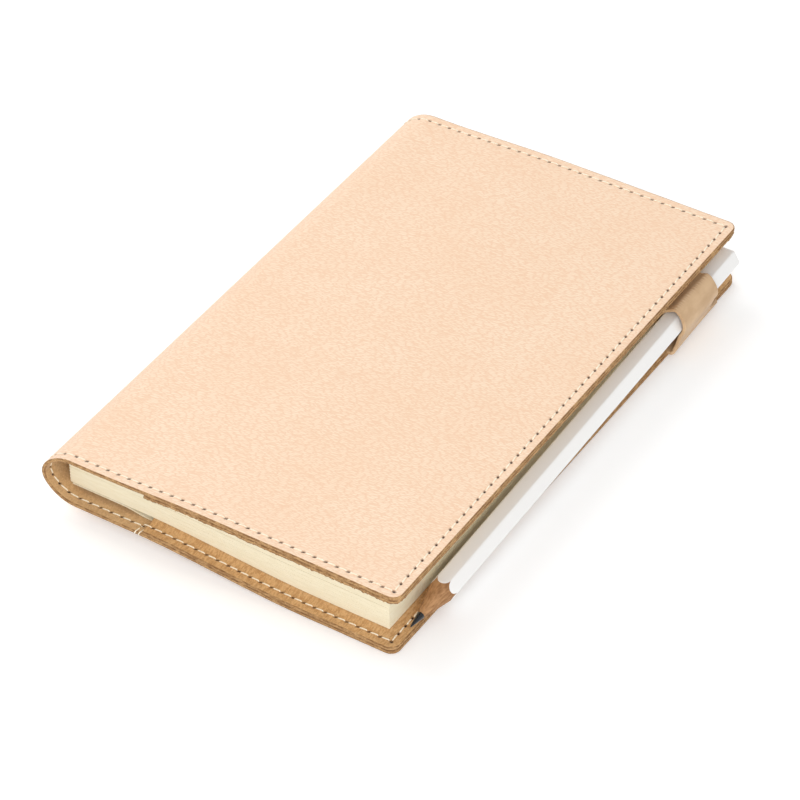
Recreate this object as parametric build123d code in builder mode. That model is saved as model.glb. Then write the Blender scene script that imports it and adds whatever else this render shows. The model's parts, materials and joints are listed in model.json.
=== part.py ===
"""Leather notebook cover with its sewn notebook, pen loop and pencil.

Frame: +X from the spine to the fore edge, +Y from tail to head, +Z up out of the back cover.
The origin is the middle of the overall footprint, on the plane that the back cover lies on.
Everything is built as it lies with the cover closed. All sizes are in millimetres.
"""
import math
import os

from build123d import *

os.makedirs("parts", exist_ok=True)

# ---- Leather cover ----
end_margin = 5.5            # cover past the pages at the tail and at the head
fore_margin = 5.9           # cover past the pages at the fore edge
corner_radius = 3.0
outer_leather = 1.2
flap_leather = 1.1
back_flap_start = 33.2      # spine side of the back pocket, from the outside of the spine
front_flap_start = 34.5
pocket_side_gap = 0.3       # board to the pocket's side walls
layer_gap = 0.1             # between layers that lie on each other

# ---- Seams ----
seam_inset = 2.7
thread_width = 0.6
thread_thickness = 0.25
thread_gap = 0.05           # thread to the sides of its groove

# ---- Spine chain: the bend is cut into strips that swing on line hinges ----
hinge_count = 4
hinge_inset = 0.2           # hinge lines lie this far inside the outer face
hinge_gap = 0.3             # between neighbouring strips

# ---- Notebook ----
pages_height = 175.0
pages_width = 103.2
pages_thickness = 14.0
front_slack = 0.6           # the pages are a little thinner than the room between the pockets
board_thickness = 0.5
board_lift = 0.2            # board to the pages, where it leaves its pocket
board_slope = 12.0          # length over which a board steps down into its pocket
slope_margin = 2.0          # end of that slope to the pocket's mouth
bend_clearance = 0.2        # corners of the notebook to the inside of the bend
section_count = 5           # folded sections in each half of the pages
section_gap = 0.04
gutter_gap = 0.1
cloth_thickness = 0.3
fold_clearance = 0.1        # fold line of the pages outside the spine cloth

# ---- Pencil and its loop ----
pencil_flats = 7.0
pencil_length = 175.3
pencil_head_inset = 3.6     # blunt end to the cover's head edge
pencil_rest_gap = 0.05      # barrel to the leather that its pointed end lies on
cone_half_angle = 13.1
lead_diameter = 2.2
lead_tip_radius = 0.2
lead_bare = 5.0             # length of lead that the cone leaves bare
lead_gap = 0.02
loop_leather = 1.0
loop_clearance = 0.2        # loop to pencil
loop_seat = 0.05            # root of the loop to the leather under it
loop_pages_gap = 0.2
loop_from_head = 18.5       # strap to the head edge
loop_length = 19.5
root_from_head = 13.0       # wider root of the strap, in the seam, to the head edge
root_length = 28.5
root_depth = 3.4            # reach of the root into the seam
root_overhang = 1.0         # root past the fore edge, where it turns up
face_lean = 30.0            # side faces of a six-sided pencil lean this far

cut_past = 1.0              # a cutting shape runs this far past what it cuts

# ---- Levels that follow ----
pocket_room = board_thickness + 2 * layer_gap
flap_top = outer_leather + pocket_room + flap_leather
margin_top = outer_leather + flap_leather
pages_bottom = flap_top + layer_gap
board_level = pages_bottom - board_lift - board_thickness
closed_thickness = 2 * pages_bottom + pages_thickness + front_slack
bend_radius = closed_thickness / 2
bend_inside = bend_radius - outer_leather
gutter_level = bend_radius


def clear_of_bend(level):
    """How far from the outside of the spine a corner at this level clears the bend."""
    rise = bend_radius - level
    return bend_radius - math.sqrt(bend_inside**2 - rise**2) + bend_clearance


# ---- Places that follow, first from the outside of the spine ----
cloth_start = clear_of_bend(pages_bottom)
pages_start = cloth_start + cloth_thickness
pages_fore = pages_start + pages_width
cover_width = pages_fore + fore_margin
cover_height = pages_height + 2 * end_margin
pencil_corner = pencil_flats / math.sqrt(3)
loop_wall = loop_clearance + loop_leather
pencil_from_spine = pages_fore + loop_pages_gap + loop_wall + pencil_corner
overall_width = pencil_from_spine + pencil_corner + loop_wall

spine_x = -overall_width / 2
bend_x = spine_x + bend_radius
fore_x = spine_x + cover_width
pages_fore_x = spine_x + pages_fore
pages_spine_x = spine_x + pages_start
cloth_x = spine_x + cloth_start
board_x = spine_x + clear_of_bend(board_level)
pencil_x = spine_x + pencil_from_spine
seam_x = fore_x - seam_inset
seam_y = cover_height / 2 - seam_inset
head_y = cover_height / 2
root_y = head_y - root_from_head - root_length
loop_y = head_y - loop_from_head - loop_length
loop_middle_y = loop_y + loop_length / 2

hinge_step = 180.0 / hinge_count
hinge_radius = bend_radius - hinge_inset
hinge_angles = [(number + 0.5) * hinge_step for number in range(hinge_count)]
half_gap_angle = math.degrees(hinge_gap / 2 / bend_radius)
thread_start_angle = math.degrees(layer_gap / bend_radius)
groove_width = thread_width + 2 * thread_gap
groove_depth = thread_thickness + thread_gap
middle_plane = Plane.XY.offset(closed_thickness / 2)


def bend_band(inner, outer, start, end, width, middle_y=0.0):
    """Part of the bend's round wall; angles run from the back cover round to the front."""
    with BuildPart() as band:
        with BuildSketch(Plane.XZ.offset(-middle_y)):
            with BuildLine():
                outer_arc = CenterArc((bend_x, bend_radius), outer, 270 - end, end - start)
                inner_arc = CenterArc((bend_x, bend_radius), inner, 270 - end, end - start)
                Line(outer_arc @ 0, inner_arc @ 0)
                Line(outer_arc @ 1, inner_arc @ 1)
            make_face()
        extrude(amount=width / 2, both=True)
    return band.part


def seam_band(start_x, level, height, width):
    """A flat band along the seam's three sides, open towards the spine."""
    with BuildPart() as band:
        with BuildSketch(Plane.XY.offset(level)):
            with Locations((start_x, 0)):
                Rectangle(
                    seam_x + width / 2 - start_x,
                    2 * seam_y + width,
                    align=(Align.MIN, Align.CENTER),
                )
                Rectangle(
                    seam_x - width / 2 - start_x,
                    2 * seam_y - width,
                    align=(Align.MIN, Align.CENTER),
                    mode=Mode.SUBTRACT,
                )
        extrude(amount=height)
    return band.part


def seam_arms(start_x, end_x, level, height, width):
    """The tail and head runs of a seam where one layer of leather is sewn alone."""
    with BuildPart() as arms:
        with BuildSketch(Plane.XY.offset(level)):
            with GridLocations(0, 2 * seam_y, 1, 2):
                with Locations(((start_x + end_x) / 2, 0)):
                    Rectangle(end_x - start_x, width)
        extrude(amount=height)
    return arms.part


def bend_threads(start, end, width, outer_top, inner_top, thickness):
    """Seam runs round the bend, outside and inside, at the tail and at the head."""
    runs = []
    for middle_y in (-seam_y, seam_y):
        runs.append(bend_band(outer_top - thickness, outer_top, start, end, width, middle_y))
        runs.append(bend_band(inner_top, inner_top + thickness, start, end, width, middle_y))
    return runs


def bend_grooves(start, end):
    """Tools that cut the thread grooves into a piece of the bend."""
    return bend_threads(
        start - half_gap_angle,
        end + half_gap_angle,
        groove_width,
        bend_radius + cut_past,
        bend_inside - cut_past,
        groove_depth + cut_past,
    )


def bend_thread_runs(start, end):
    """The threads that lie in those grooves."""
    return bend_threads(
        start,
        end,
        thread_width,
        bend_radius - thread_gap / 2,
        bend_inside + thread_gap / 2,
        thread_thickness,
    )


def outer_panel(flap_start):
    """Outer leather of one cover, with its share of the bend, in the back cover's place."""
    single_end = spine_x + flap_start
    bend_end = hinge_angles[0] - half_gap_angle
    bend_piece = bend_band(bend_inside, bend_radius, 0, bend_end, cover_height)
    groove_start = bend_x - cut_past
    outside_groove = seam_band(groove_start, 0, groove_depth, groove_width)
    inside_groove = seam_arms(
        groove_start, single_end, outer_leather - groove_depth, groove_depth, groove_width
    )
    bend_cuts = bend_grooves(0, bend_end)
    with BuildPart() as panel:
        with BuildSketch():
            with Locations((bend_x, 0)):
                Rectangle(fore_x - bend_x, cover_height, align=(Align.MIN, Align.CENTER))
        extrude(amount=outer_leather)
        fore_corners = panel.edges().filter_by(Axis.Z).group_by(Axis.X)[-1]
        fillet(fore_corners, radius=corner_radius)
        add(outside_groove, mode=Mode.SUBTRACT)
        add(inside_groove, mode=Mode.SUBTRACT)
        add(bend_piece)
        add(bend_cuts, mode=Mode.SUBTRACT)
    return panel.part


def pocket_flap(flap_start, with_loop):
    """Inner flap of one cover: sewn flat at its margins and raised over the board's pocket."""
    start_x = spine_x + flap_start
    pocket_fore_x = pages_fore_x + pocket_side_gap
    pocket_height = pages_height + 2 * pocket_side_gap
    groove = seam_band(start_x - cut_past, margin_top - groove_depth, groove_depth, groove_width)
    with BuildPart() as flap:
        with BuildSketch(Plane.XY.offset(outer_leather)):
            with Locations((start_x, 0)):
                Rectangle(fore_x - start_x, cover_height, align=(Align.MIN, Align.CENTER))
        extrude(amount=flap_leather)
        fore_corners = flap.edges().filter_by(Axis.Z).group_by(Axis.X)[-1]
        fillet(fore_corners, radius=corner_radius)
        add(groove, mode=Mode.SUBTRACT)
        with BuildSketch(Plane.XY.offset(outer_leather)):
            with Locations((start_x, 0)):
                Rectangle(
                    pocket_fore_x + flap_leather - start_x,
                    pocket_height + 2 * flap_leather,
                    align=(Align.MIN, Align.CENTER),
                )
        extrude(amount=pocket_room + flap_leather)
        with BuildSketch(Plane.XY.offset(outer_leather)):
            with Locations((start_x, 0)):
                Rectangle(
                    pocket_fore_x - start_x, pocket_height, align=(Align.MIN, Align.CENTER)
                )
        extrude(amount=pocket_room, mode=Mode.SUBTRACT)
        if with_loop:
            with BuildSketch(Plane.XY.offset(outer_leather)):
                with Locations((fore_x + cut_past, root_y - layer_gap)):
                    Rectangle(
                        root_depth + layer_gap + cut_past,
                        root_length + 2 * layer_gap,
                        align=(Align.MAX, Align.MIN),
                    )
            extrude(amount=flap_leather, mode=Mode.SUBTRACT)
    return flap.part


def notebook_board(flap_start):
    """Card cover of the notebook, stepping from the pages' level down into its pocket."""
    slope_end_x = spine_x + flap_start - slope_margin
    slope_start_x = slope_end_x - board_slope
    low = outer_leather + layer_gap
    with BuildPart() as board:
        with BuildSketch(Plane.XZ):
            with BuildLine():
                Polyline(
                    (board_x, board_level),
                    (slope_start_x, board_level),
                    (slope_end_x, low),
                    (pages_fore_x, low),
                    (pages_fore_x, low + board_thickness),
                    (slope_end_x, low + board_thickness),
                    (slope_start_x, board_level + board_thickness),
                    (board_x, board_level + board_thickness),
                    close=True,
                )
            make_face()
        extrude(amount=pages_height / 2, both=True)
    return board.part


def seam_thread(flap_start):
    """Needle and bobbin threads of one cover's seam, in the back cover's place."""
    flap_x = spine_x + flap_start
    outside = seam_band(bend_x, thread_gap / 2, thread_thickness, thread_width)
    inside_level = margin_top - thread_gap / 2 - thread_thickness
    inside = seam_band(flap_x, inside_level, thread_thickness, thread_width)
    single_level = outer_leather - thread_gap / 2 - thread_thickness
    single = seam_arms(bend_x, flap_x - layer_gap, single_level, thread_thickness, thread_width)
    bend_runs = bend_thread_runs(thread_start_angle, hinge_angles[0] - half_gap_angle)
    with BuildPart() as thread:
        add(outside)
        add(inside)
        add(single)
        add(bend_runs)
    return thread.part


def page_sections(bottom, top):
    """Folded sections of the text block between two levels, each its own solid."""
    pitch = (top - bottom + section_gap) / section_count
    with BuildPart() as pages:
        for number in range(section_count):
            with BuildSketch(Plane.XY.offset(bottom + number * pitch)):
                with Locations((pages_spine_x, 0)):
                    Rectangle(pages_width, pages_height, align=(Align.MIN, Align.CENTER))
            extrude(amount=pitch - section_gap)
    return pages.part


def spine_cloth(bottom, top):
    """Cloth glued over the backs of the sections."""
    with BuildPart() as cloth:
        with BuildSketch(Plane.XY.offset(bottom)):
            with Locations((cloth_x, 0)):
                Rectangle(cloth_thickness, pages_height, align=(Align.MIN, Align.CENTER))
        extrude(amount=top - bottom)
    return cloth.part


def save(part, name):
    """Label a finished piece and write it."""
    part.label = name
    export_step(part, f"parts/{name}.step")


# ---- Back cover, front cover ----
for side, flap_start in (("back", back_flap_start), ("front", front_flap_start)):
    pieces = {
        f"outer_{side}_panel": outer_panel(flap_start),
        f"{side}_pocket_flap": pocket_flap(flap_start, with_loop=side == "back"),
        f"{side}_board": notebook_board(flap_start),
        f"{side}_seam_thread": seam_thread(flap_start),
    }
    for name, piece in pieces.items():
        if side == "front":
            with BuildPart() as turned:
                mirror(piece, about=middle_plane)
            piece = turned.part
        save(piece, name)

# ---- Spine strips between the hinge lines, and the thread round them ----
for number in range(1, hinge_count):
    strip_start = hinge_angles[number - 1] + half_gap_angle
    strip_end = hinge_angles[number] - half_gap_angle
    wall = bend_band(bend_inside, bend_radius, strip_start, strip_end, cover_height)
    cuts = bend_grooves(strip_start, strip_end)
    runs = bend_thread_runs(strip_start, strip_end)
    with BuildPart() as strip:
        add(wall)
        add(cuts, mode=Mode.SUBTRACT)
    save(strip.part, f"spine_strip_{number}")
    with BuildPart() as strip_thread:
        add(runs)
    save(strip_thread.part, f"spine_thread_{number}")

# ---- Notebook: two halves that part at the gutter ----
pages_top = pages_bottom + pages_thickness
halves = {
    "lower": (pages_bottom, gutter_level - gutter_gap / 2),
    "upper": (gutter_level + gutter_gap / 2, pages_top),
}
for half, (bottom, top) in halves.items():
    save(page_sections(bottom, top), f"pages_{half}")
    save(spine_cloth(bottom, top), f"spine_cloth_{half}")

# ---- Pencil's axis: level with the gutter in the loop, down on the leather at the point ----
blunt_place = head_y - pencil_head_inset - loop_middle_y
tip_place = blunt_place - pencil_length
cone_slope = math.tan(math.radians(cone_half_angle))
cone_start = tip_place + lead_bare
flat_end_place = cone_start + (pencil_flats - lead_diameter) / 2 / cone_slope
rest_level = margin_top + pencil_rest_gap + pencil_flats / 2
pencil_droop = math.asin((rest_level - gutter_level) / flat_end_place)
loop_middle = (pencil_x, loop_middle_y, gutter_level)
pencil_along = (0, math.cos(pencil_droop), math.sin(pencil_droop))
pencil_across = (0, -math.sin(pencil_droop), math.cos(pencil_droop))
pencil_axis = Axis(loop_middle, pencil_along)
length_plane = Plane(loop_middle, x_dir=(1, 0, 0), z_dir=pencil_across)
section_plane = Plane(loop_middle, x_dir=(-1, 0, 0), z_dir=pencil_along)

# ---- Pen loop: a strap whose root is held in the seam and which closes round the pencil ----
root_level = outer_leather + loop_seat
lean = math.radians(face_lean)
turn_reach = pencil_flats / 2 + loop_wall
turn_outer = (
    pencil_x + turn_reach * math.cos(lean),
    gutter_level - turn_reach * math.sin(lean),
)
turn_inner = (
    turn_outer[0] - loop_leather * math.cos(lean),
    turn_outer[1] + loop_leather * math.sin(lean),
)
seam_side_x = seam_x + groove_width
loop_groove = seam_band(spine_x, margin_top - groove_depth, groove_depth, groove_width)
with BuildPart() as pen_loop:
    with BuildSketch(Plane.XZ.offset(-root_y)):
        with Locations((fore_x + root_overhang, root_level)):
            Rectangle(
                root_depth + root_overhang, margin_top - root_level, align=(Align.MAX, Align.MIN)
            )
    extrude(amount=-root_length)
    add(loop_groove, mode=Mode.SUBTRACT)
    with BuildSketch(Plane.XZ.offset(-loop_y)):
        with BuildLine():
            Polyline(
                (seam_side_x, root_level),
                (fore_x + root_overhang, root_level),
                turn_outer,
                turn_inner,
                (fore_x + root_overhang - loop_leather, margin_top),
                (seam_side_x, margin_top),
                close=True,
            )
        make_face()
    extrude(amount=-loop_length)
    with BuildSketch(section_plane):
        RegularPolygon(pencil_flats / 2, 6, major_radius=False)
        offset(amount=loop_wall, kind=Kind.ARC)
    extrude(amount=loop_length / 2, both=True)
    with BuildSketch(section_plane):
        RegularPolygon(pencil_flats / 2, 6, major_radius=False)
        offset(amount=loop_clearance, kind=Kind.ARC)
    extrude(amount=loop_length, both=True, mode=Mode.SUBTRACT)
save(pen_loop.part, "pen_loop")

# ---- Pencil: six-sided barrel, sharpened to a cone, with a lead through it ----
lead_radius = lead_diameter / 2
bore_radius = lead_radius + lead_gap


def cone_place(radius):
    """Place along the pencil where the sharpened cone has this radius."""
    return cone_start + (radius - lead_radius) / cone_slope


def turned_profile(radius_points):
    """A body turned round the pencil's axis from (radius, place along it) points."""
    with BuildPart() as turned_body:
        with BuildSketch(length_plane):
            with BuildLine():
                Polyline(*radius_points, close=True)
            make_face()
        revolve(axis=pencil_axis)
    return turned_body.part


envelope = turned_profile(
    [
        (0, cone_place(bore_radius)),
        (bore_radius, cone_place(bore_radius)),
        (pencil_corner + cut_past, cone_place(pencil_corner + cut_past)),
        (pencil_corner + cut_past, blunt_place),
        (0, blunt_place),
    ]
)
with BuildPart() as pencil_barrel:
    with BuildSketch(section_plane.offset(tip_place)):
        RegularPolygon(pencil_flats / 2, 6, major_radius=False)
        Circle(bore_radius, mode=Mode.SUBTRACT)
    extrude(amount=pencil_length)
    add(envelope, mode=Mode.INTERSECT)
save(pencil_barrel.part, "pencil_barrel")

lead = turned_profile(
    [
        (0, tip_place),
        (lead_tip_radius, tip_place),
        (lead_radius, cone_start),
        (lead_radius, blunt_place),
        (0, blunt_place),
    ]
)
save(lead, "pencil_lead")

# ---- Sizes and axes that follow, for whoever describes the piece ----
print("closed", closed_thickness, "wide", round(overall_width, 3), "tall", cover_height)
print("cover width", round(cover_width, 3), "pages end", round(pages_fore, 3))
for number, angle in enumerate(hinge_angles, start=1):
    turn = math.radians(angle)
    hinge_x = bend_x - hinge_radius * math.sin(turn)
    hinge_z = bend_radius - hinge_radius * math.cos(turn)
    print("hinge", number, round(hinge_x, 4), round(hinge_z, 4))
print("pages fold", round(cloth_x - fold_clearance, 4), gutter_level)
print("pencil axis through", [round(value, 4) for value in loop_middle])
print("pencil axis along", [round(value, 6) for value in pencil_along])
print("pencil from", round(tip_place, 3), "to", round(blunt_place, 3), "along its axis")
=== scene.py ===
# %% [markdown]
# # A leather notebook cover with its notebook, pen loop and pencil
# The CAD model is loaded first and never moved. It gives every place and size that the soft
# pieces need: the leather, the thread, the leaves and the pencil are modelled here, in its frame.

# %% Load the frame
import json
import math

import bmesh
import bpy
import numpy as np
from mathutils import Matrix, Vector


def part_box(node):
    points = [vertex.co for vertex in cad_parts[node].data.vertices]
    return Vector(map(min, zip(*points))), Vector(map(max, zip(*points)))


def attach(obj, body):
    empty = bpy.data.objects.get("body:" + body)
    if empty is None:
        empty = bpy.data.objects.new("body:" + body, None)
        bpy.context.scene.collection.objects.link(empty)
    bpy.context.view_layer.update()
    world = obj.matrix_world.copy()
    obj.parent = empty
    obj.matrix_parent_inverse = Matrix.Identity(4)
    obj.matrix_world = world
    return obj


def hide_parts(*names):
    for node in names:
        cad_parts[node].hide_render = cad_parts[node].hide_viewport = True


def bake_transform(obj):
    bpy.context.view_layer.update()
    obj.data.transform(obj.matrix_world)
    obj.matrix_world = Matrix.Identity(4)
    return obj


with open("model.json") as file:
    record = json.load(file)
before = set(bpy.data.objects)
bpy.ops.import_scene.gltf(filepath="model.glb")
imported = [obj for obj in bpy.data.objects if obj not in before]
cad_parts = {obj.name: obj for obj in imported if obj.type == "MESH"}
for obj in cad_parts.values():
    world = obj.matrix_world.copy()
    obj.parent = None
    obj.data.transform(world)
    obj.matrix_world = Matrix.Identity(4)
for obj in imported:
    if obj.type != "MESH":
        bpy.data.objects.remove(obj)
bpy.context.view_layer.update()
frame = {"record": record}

# %% [markdown]
# Leather work is measured in millimetres, so the shapes are worked out in millimetres and turned
# into Blender's metres when a mesh is made. The few sizes that can't be read off a box, such as
# how far the seam lies from the edge, are named here once.

# %% Sizes read from the frame
mm = 0.001


def box_mm(node):
    """Lowest and highest corner of a CAD node, in millimetres."""
    low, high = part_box(node)
    return np.array(low) / mm, np.array(high) / mm


back_low, back_high = box_mm("outer_back_panel")
front_high = box_mm("outer_front_panel")[1]
flap_low, flap_high = box_mm("back_pocket_flap")
front_flap_low = box_mm("front_pocket_flap")[0]
lower_low, lower_high = box_mm("pages_lower")
upper_low, upper_high = box_mm("pages_upper")
cloth_low, cloth_high = box_mm("spine_cloth_lower")
barrel_low, barrel_high = box_mm("pencil_barrel")
lead_low, lead_high = box_mm("pencil_lead")
loop_low, loop_high = box_mm("pen_loop")
strip_low = box_mm("spine_strip_2")[0]

closed_height = front_high[2]
bend_radius = closed_height / 2
bend_x = strip_low[0] + bend_radius
fore_x = back_high[0]
tail_y, head_y = back_low[1], back_high[1]
outer_leather = flap_low[2]
flap_leather = 1.1
margin_top = outer_leather + flap_leather
pocket_rise = flap_high[2] - margin_top
pages_bottom = lower_low[2]
corner_radius = 3.0
seam_inset = 2.7
seam_u = fore_x - seam_inset - bend_x
seam_y = head_y - seam_inset
print("cover", round(fore_x - strip_low[0], 1), "x", round(head_y - tail_y, 1), "mm")

# %% [markdown]
# ## Finishes
# Each finish is one Principled shader, fed by procedural textures. A picture wrapped round the
# mesh could do the same, but it would blur close up and would need a flattened copy of every
# piece. Sums on sockets would be a page of node calls, so a small class lets them be written as
# arithmetic, and one method adds any other node.

# %% Shader arithmetic
class Value:
    """A number on a socket, on which Python's operators add Math nodes."""

    def __init__(self, finish, socket):
        self.finish = finish
        self.socket = socket

    def math(self, operation, *others):
        inputs = dict(enumerate((self, *others)))
        return self.finish.node("ShaderNodeMath", {"operation": operation}, inputs)

    def __add__(self, other):
        return self.math("ADD", other)

    def __mul__(self, other):
        return self.math("MULTIPLY", other)

    def __sub__(self, other):
        return self.math("SUBTRACT", other)

    def __rsub__(self, other):
        return self.finish.node("ShaderNodeMath", {"operation": "SUBTRACT"}, {0: other, 1: self})

    __radd__ = __add__
    __rmul__ = __mul__


class Finish:
    """A material with a Principled shader and short ways to feed it."""

    def __init__(self, name, **constants):
        self.material = bpy.data.materials.new(name)
        self.material.use_nodes = True
        self.tree = self.material.node_tree
        self.shader = self.tree.nodes["Principled BSDF"]
        for socket, value in constants.items():
            self.shader.inputs[socket.replace("_", " ")].default_value = value

    def node(self, kind, settings=None, inputs=None, output=0):
        """Any node: its settings first, then values or links for its sockets."""
        made = self.tree.nodes.new(kind)
        for setting, value in (settings or {}).items():
            setattr(made, setting, value)
        for socket, value in (inputs or {}).items():
            self.feed(made.inputs[socket], value)
        return Value(self, made.outputs[output])

    def feed(self, socket, value):
        if isinstance(value, Value):
            self.tree.links.new(value.socket, socket)
        else:
            socket.default_value = value

    def place(self, scale, turn=0.0):
        """Object coordinates, turned about Z and scaled, for a texture."""
        coordinates = self.node("ShaderNodeTexCoord", output=3)
        settings = {"vector_type": "TEXTURE"}
        stretch = tuple(1 / side for side in scale)
        inputs = {"Vector": coordinates, "Rotation": (0, 0, turn), "Scale": stretch}
        return self.node("ShaderNodeMapping", settings, inputs)

    def noise(self, where, detail=2.0, roughness=0.5):
        inputs = {"Vector": where, "Scale": 1.0, "Detail": detail, "Roughness": roughness}
        return self.node("ShaderNodeTexNoise", None, inputs)

    def between(self, value, low, high):
        """0 below low, 1 above high and smooth between."""
        settings = {"interpolation_type": "SMOOTHSTEP"}
        inputs = {"Value": value, "From Min": low, "From Max": high}
        return self.node("ShaderNodeMapRange", settings, inputs)

    def mix(self, factor, first, second):
        """A colour between two others."""
        settings = {"data_type": "RGBA"}
        return self.node("ShaderNodeMix", settings, {0: factor, 6: first, 7: second}, output=2)

    def mark(self, name):
        """A number that the mesh carries on its points."""
        return self.node("ShaderNodeAttribute", {"attribute_name": name}, None, output=2)

    def paint(self, colour):
        self.feed(self.shader.inputs["Base Color"], colour)

    def bump(self, height, depth, strength=1.0):
        """Relief of that depth in millimetres where height goes from 0 to 1."""
        inputs = {"Strength": strength, "Distance": depth * mm, "Height": height}
        self.feed(self.shader.inputs["Normal"], self.node("ShaderNodeBump", None, inputs))


def colour(red, green, blue):
    """A colour that is written in the usual 0 to 255, as the linear one that shaders use."""
    shares = [part / 255 for part in (red, green, blue)]
    linear = [((s + 0.055) / 1.055) ** 2.4 if s > 0.04045 else s / 12.92 for s in shares]
    return (*linear, 1.0)


print("a mid grey of 128 is", round(colour(128, 128, 128)[0], 3), "as a linear colour")

# %% [markdown]
# Natural goat leather is pale, matt and covered in fine wrinkles that mostly run one way. Plain
# noise would give round pores, so cells that are stretched along the skin give the wrinkles, and
# a slow noise mottles the colour. The mesh marks its needle holes, and the shade inside them is
# painted there as a dark brown, so that they come out dark however the seam runs.

# %% Grain leather
# Painted shade: the dark brown that stands for the shade inside the needle holes.
hole_shade_colour = colour(50, 20, 5)


def grain_leather():
    """The outer face of the cover."""
    finish = Finish("grain_leather", Roughness=0.62, Sheen_Weight=0.05)
    flow = finish.noise(finish.place((140, 140, 140)), 3.0)
    skin = finish.place((430, 1950, 1100), math.radians(8))
    bent = finish.node("ShaderNodeVectorMath", {"operation": "ADD"}, {0: skin, 1: flow})
    settings = {"feature": "DISTANCE_TO_EDGE"}
    cells = finish.node("ShaderNodeTexVoronoi", settings, {"Vector": bent, "Scale": 1.0})
    crease_highlights = finish.between(cells, 0.0, 0.25)
    fine = finish.noise(finish.place((2600, 3600, 3000)), 3.0, 0.6)
    mottle = finish.between(finish.noise(finish.place((45, 45, 45)), 4.0), 0.3, 0.7)
    base = finish.mix(mottle, colour(252, 229, 203), colour(251, 224, 196))
    grained = finish.mix(crease_highlights * 0.7 + fine * 0.3, colour(240, 200, 166), base)
    # Painted shade in the needle holes, where the mesh marks them.
    finish.paint(finish.mix(finish.mark("hole"), grained, hole_shade_colour))
    finish.bump(crease_highlights * 0.7 + fine * 0.4, 0.045, 0.7)
    return finish.material


grain = grain_leather()
print("finish", grain.name)

# %% [markdown]
# The flesh side inside the bend is suede: no grain, only short fibres, and a browner tan. The
# cut edge shows the same fibres packed in layers, so its noise is stretched along the edge. The
# pocket flaps are a darker tan skin whose wrinkles run across the margin.

# %% Suede, cut edge and pocket leather
def suede():
    """The flesh side of the outer leather."""
    finish = Finish("suede", Roughness=0.95, Sheen_Weight=0.25)
    fibres = finish.noise(finish.place((2200, 1500, 2200)), 5.0, 0.65)
    patches = finish.noise(finish.place((160, 160, 160)), 3.0)
    mask = finish.between(fibres * 0.7 + patches * 0.3, 0.35, 0.65)
    base = finish.mix(mask, colour(187, 147, 98), colour(216, 178, 129))
    # Painted shade in the needle holes, where the mesh marks them.
    finish.paint(finish.mix(finish.mark("hole"), base, hole_shade_colour))
    finish.bump(fibres, 0.12, 0.7)
    return finish.material


def cut_edge():
    """Raw edges, which show the packed fibres of the skin, with painted shade along the rims of
    each layer.
    """
    finish = Finish("cut_edge", Roughness=0.85)
    layers = finish.noise(finish.place((260, 260, 5200)), 4.0, 0.7)
    specks = finish.noise(finish.place((1500, 1500, 2600)), 3.0, 0.6)
    mask = finish.between(layers * 0.6 + specks * 0.4, 0.38, 0.62)
    packed = finish.mix(mask, colour(146, 104, 60), colour(208, 167, 116))
    patchy = finish.between(finish.noise(finish.place((420, 420, 420)), 3.0), 0.35, 0.6)
    # Painted shade: patches along the rounded rims of each layer are darkened, for the crevice
    # where the layers meet.
    finish.paint(finish.mix(finish.mark("rim") * patchy * 0.6, packed, colour(112, 72, 36)))
    finish.bump(layers * 0.5 + specks * 0.5, 0.15, 0.8)
    return finish.material


def pocket_leather():
    """The flaps inside the covers."""
    finish = Finish("pocket_leather", Roughness=0.7, Sheen_Weight=0.1)
    wrinkles = finish.noise(finish.place((1900, 620, 900)), 4.0, 0.6)
    pores = finish.noise(finish.place((3200, 3200, 3200)), 2.0)
    mask = finish.between(wrinkles * 0.75 + pores * 0.25, 0.38, 0.6)
    base = finish.mix(mask, colour(191, 144, 90), colour(219, 176, 122))
    # Painted shade in the needle holes, where the mesh marks them.
    finish.paint(finish.mix(finish.mark("hole"), base, hole_shade_colour))
    finish.bump(mask, 0.06, 0.8)
    return finish.material


def loop_leather():
    """The smooth strap of the pen loop."""
    finish = Finish("loop_leather", Roughness=0.5, Sheen_Weight=0.05)
    cloud = finish.between(finish.noise(finish.place((190, 90, 190)), 4.0), 0.35, 0.65)
    pores = finish.noise(finish.place((2600, 2600, 2600)), 3.0, 0.6)
    smooth = finish.mix(cloud, colour(196, 160, 120), colour(214, 180, 140))
    # Painted highlight: the creases along the fold are painted lighter, as where they catch the
    # light.
    finish.paint(finish.mix(finish.mark("crease_and_highlight"), smooth, colour(236, 208, 172)))
    finish.bump(pores, 0.03, 0.6)
    return finish.material


flesh = suede()
edge = cut_edge()
pocket = pocket_leather()
strap = loop_leather()
print("finishes", flesh.name, edge.name, pocket.name, strap.name)

# %% [markdown]
# Thread, paper, card and cloth are all matt. Thread and cloth get their weave from waves at the
# size of one strand; paper and card only have a faint tooth and slow changes of tone.

# %% Thread, paper, card, cloth
def plain_finish(name, dark, light, scale, depth, roughness):
    """A matt finish whose tone and relief both follow one noise."""
    finish = Finish(name, Roughness=roughness)
    tooth = finish.noise(finish.place(scale), 4.0, 0.6)
    finish.paint(finish.mix(finish.between(tooth, 0.35, 0.65), dark, light))
    finish.bump(tooth, depth, 0.6)
    return finish.material


def binding_weave():
    """Open cloth glued on the backs of the sections."""
    finish = Finish("binding_weave", Roughness=0.9, Sheen_Weight=0.2)
    settings = {"wave_type": "BANDS", "bands_direction": "Y"}
    where = finish.place((1, 1, 1))
    weft = finish.node("ShaderNodeTexWave", settings, {"Vector": where, "Scale": 480.0})
    settings = {"wave_type": "BANDS", "bands_direction": "Z"}
    warp = finish.node("ShaderNodeTexWave", settings, {"Vector": where, "Scale": 480.0})
    weave = weft.math("MAXIMUM", warp)
    finish.paint(finish.mix(weave, colour(214, 204, 176), colour(240, 232, 212)))
    finish.bump(weave, 0.08, 0.8)
    return finish.material


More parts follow.
